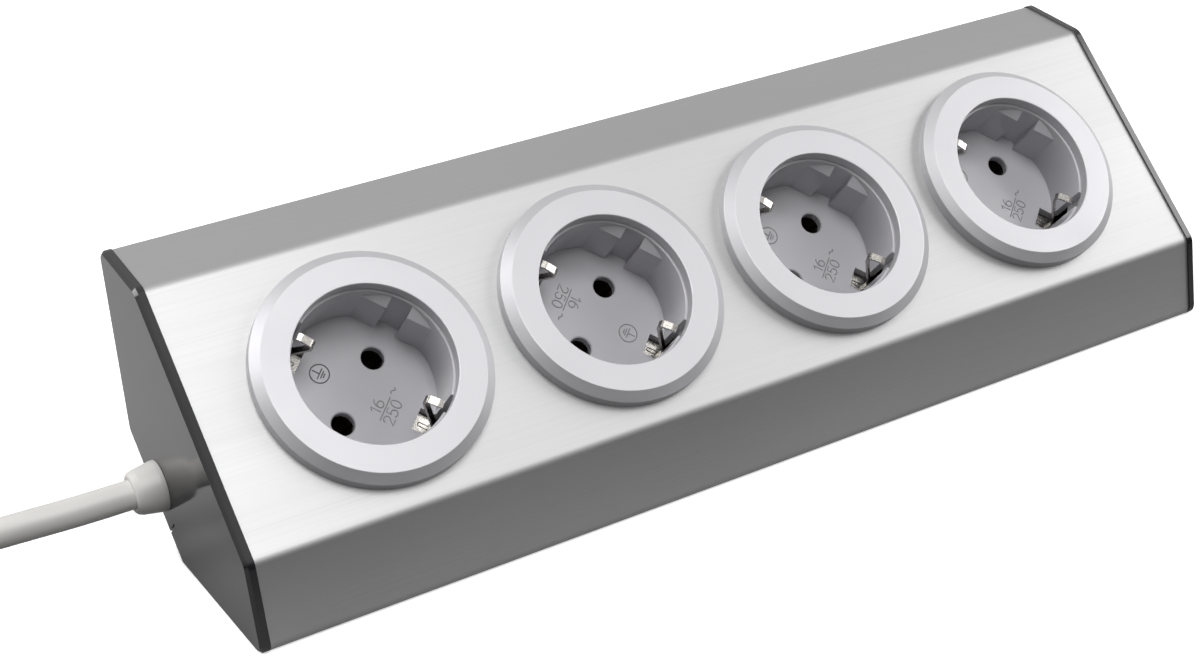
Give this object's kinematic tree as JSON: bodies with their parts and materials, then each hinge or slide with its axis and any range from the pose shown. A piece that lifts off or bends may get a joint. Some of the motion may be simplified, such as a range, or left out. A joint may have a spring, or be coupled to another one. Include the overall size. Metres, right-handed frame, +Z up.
{
  "type": "surface mounted socket block",
  "caption": "Surface mounted corner block with earthed sockets set at an angle in a slanted brushed steel front, with end caps, a mains cable and a plug.",
  "frame": {"origin": "middle of the block's underside, half way along the housing and between its front edge and the wall", "axes": "+X to the right along the block seen from the front, +Y back to the wall, +Z up"},
  "size_m": [0.4919, 0.1055, 0.0743],
  "materials": {
    "brushed_sheet": "brushed along the length",
    "anodised_aluminium": "satin anodised",
    "graphite_plastic": "gloss",
    "screw_steel": "zinc plated",
    "silver_plastic": "silver painted, satin",
    "grey_plastic": "gloss",
    "dark_plastic": "matt",
    "nickel_spring": "nickel plated spring strip",
    "contact_brass": "plain",
    "cable_sheath": "satin",
    "wire_brown": "satin",
    "wire_blue": "satin",
    "wire_green": "satin, striped yellow and green",
    "nickel_pin": "nickel plated"
  },
  "bodies": {
    "housing": {"front_profile": "brushed_sheet", "rear_profile": "anodised_aluminium", "end_cap_left": "graphite_plastic", "end_cap_right": "graphite_plastic", "profile_screws": "screw_steel", "insert_screws": "screw_steel", "terminal_screws": "screw_steel", "clamp_screws": "screw_steel", "trim_ring_1": "silver_plastic", "socket_insert_1": "grey_plastic", "contact_block_1": "dark_plastic", "earth_bracket_1": "nickel_spring", "line_contact_1": "contact_brass", "neutral_contact_1": "contact_brass", "trim_ring_2": "silver_plastic", "socket_insert_2": "grey_plastic", "contact_block_2": "dark_plastic", "earth_bracket_2": "nickel_spring", "line_contact_2": "contact_brass", "neutral_contact_2": "contact_brass", "trim_ring_3": "silver_plastic", "socket_insert_3": "grey_plastic", "contact_block_3": "dark_plastic", "earth_bracket_3": "nickel_spring", "line_contact_3": "contact_brass", "neutral_contact_3": "contact_brass", "trim_ring_4": "silver_plastic", "socket_insert_4": "grey_plastic", "contact_block_4": "dark_plastic", "earth_bracket_4": "nickel_spring", "line_contact_4": "contact_brass", "neutral_contact_4": "contact_brass", "line_bar": "contact_brass", "neutral_bar": "contact_brass", "earth_bar": "contact_brass", "bar_terminals": "contact_brass", "inner_cable": "cable_sheath", "strain_relief": "cable_sheath", "mains_cable": "cable_sheath", "cable_coil": "cable_sheath", "plug_body": "cable_sheath", "wire_line": "wire_brown", "wire_neutral": "wire_blue", "wire_earth": "wire_green", "clamp_base": "dark_plastic", "clamp_strap": "dark_plastic", "plug_pins": "nickel_pin", "plug_earth": "nickel_pin"},
    "earth_clip_upper_1": {"earth_clip_upper_1": "nickel_spring"},
    "earth_clip_lower_1": {"earth_clip_lower_1": "nickel_spring"},
    "earth_clip_upper_2": {"earth_clip_upper_2": "nickel_spring"},
    "earth_clip_lower_2": {"earth_clip_lower_2": "nickel_spring"},
    "earth_clip_upper_3": {"earth_clip_upper_3": "nickel_spring"},
    "earth_clip_lower_3": {"earth_clip_lower_3": "nickel_spring"},
    "earth_clip_upper_4": {"earth_clip_upper_4": "nickel_spring"},
    "earth_clip_lower_4": {"earth_clip_lower_4": "nickel_spring"}
  },
  "joints": [
    {"name": "earth_clip_upper_1_flex", "type": "hinge", "parent": "housing", "child": "earth_clip_upper_1", "pos_m": [-0.11261, 0.01156, 0.04564], "axis": [-0.7071, -0.5, -0.5], "range_deg": [0, 6], "stiffness_Nm_per_rad": 0.6},
    {"name": "earth_clip_lower_1_flex", "type": "hinge", "parent": "housing", "child": "earth_clip_lower_1", "pos_m": [-0.08419, -0.00854, 0.02554], "axis": [0.7071, 0.5, 0.5], "range_deg": [0, 6], "stiffness_Nm_per_rad": 0.6},
    {"name": "earth_clip_upper_2_flex", "type": "hinge", "parent": "housing", "child": "earth_clip_upper_2", "pos_m": [-0.04701, 0.01156, 0.04564], "axis": [-0.7071, -0.5, -0.5], "range_deg": [0, 6], "stiffness_Nm_per_rad": 0.6},
    {"name": "earth_clip_lower_2_flex", "type": "hinge", "parent": "housing", "child": "earth_clip_lower_2", "pos_m": [-0.01859, -0.00854, 0.02554], "axis": [0.7071, 0.5, 0.5], "range_deg": [0, 6], "stiffness_Nm_per_rad": 0.6},
    {"name": "earth_clip_upper_3_flex", "type": "hinge", "parent": "housing", "child": "earth_clip_upper_3", "pos_m": [0.01859, 0.01156, 0.04564], "axis": [-0.7071, -0.5, -0.5], "range_deg": [0, 6], "stiffness_Nm_per_rad": 0.6},
    {"name": "earth_clip_lower_3_flex", "type": "hinge", "parent": "housing", "child": "earth_clip_lower_3", "pos_m": [0.04701, -0.00854, 0.02554], "axis": [0.7071, 0.5, 0.5], "range_deg": [0, 6], "stiffness_Nm_per_rad": 0.6},
    {"name": "earth_clip_upper_4_flex", "type": "hinge", "parent": "housing", "child": "earth_clip_upper_4", "pos_m": [0.08419, 0.01156, 0.04564], "axis": [-0.7071, -0.5, -0.5], "range_deg": [0, 6], "stiffness_Nm_per_rad": 0.6},
    {"name": "earth_clip_lower_4_flex", "type": "hinge", "parent": "housing", "child": "earth_clip_lower_4", "pos_m": [0.11261, -0.00854, 0.02554], "axis": [0.7071, 0.5, 0.5], "range_deg": [0, 6], "stiffness_Nm_per_rad": 0.6}
  ]
}
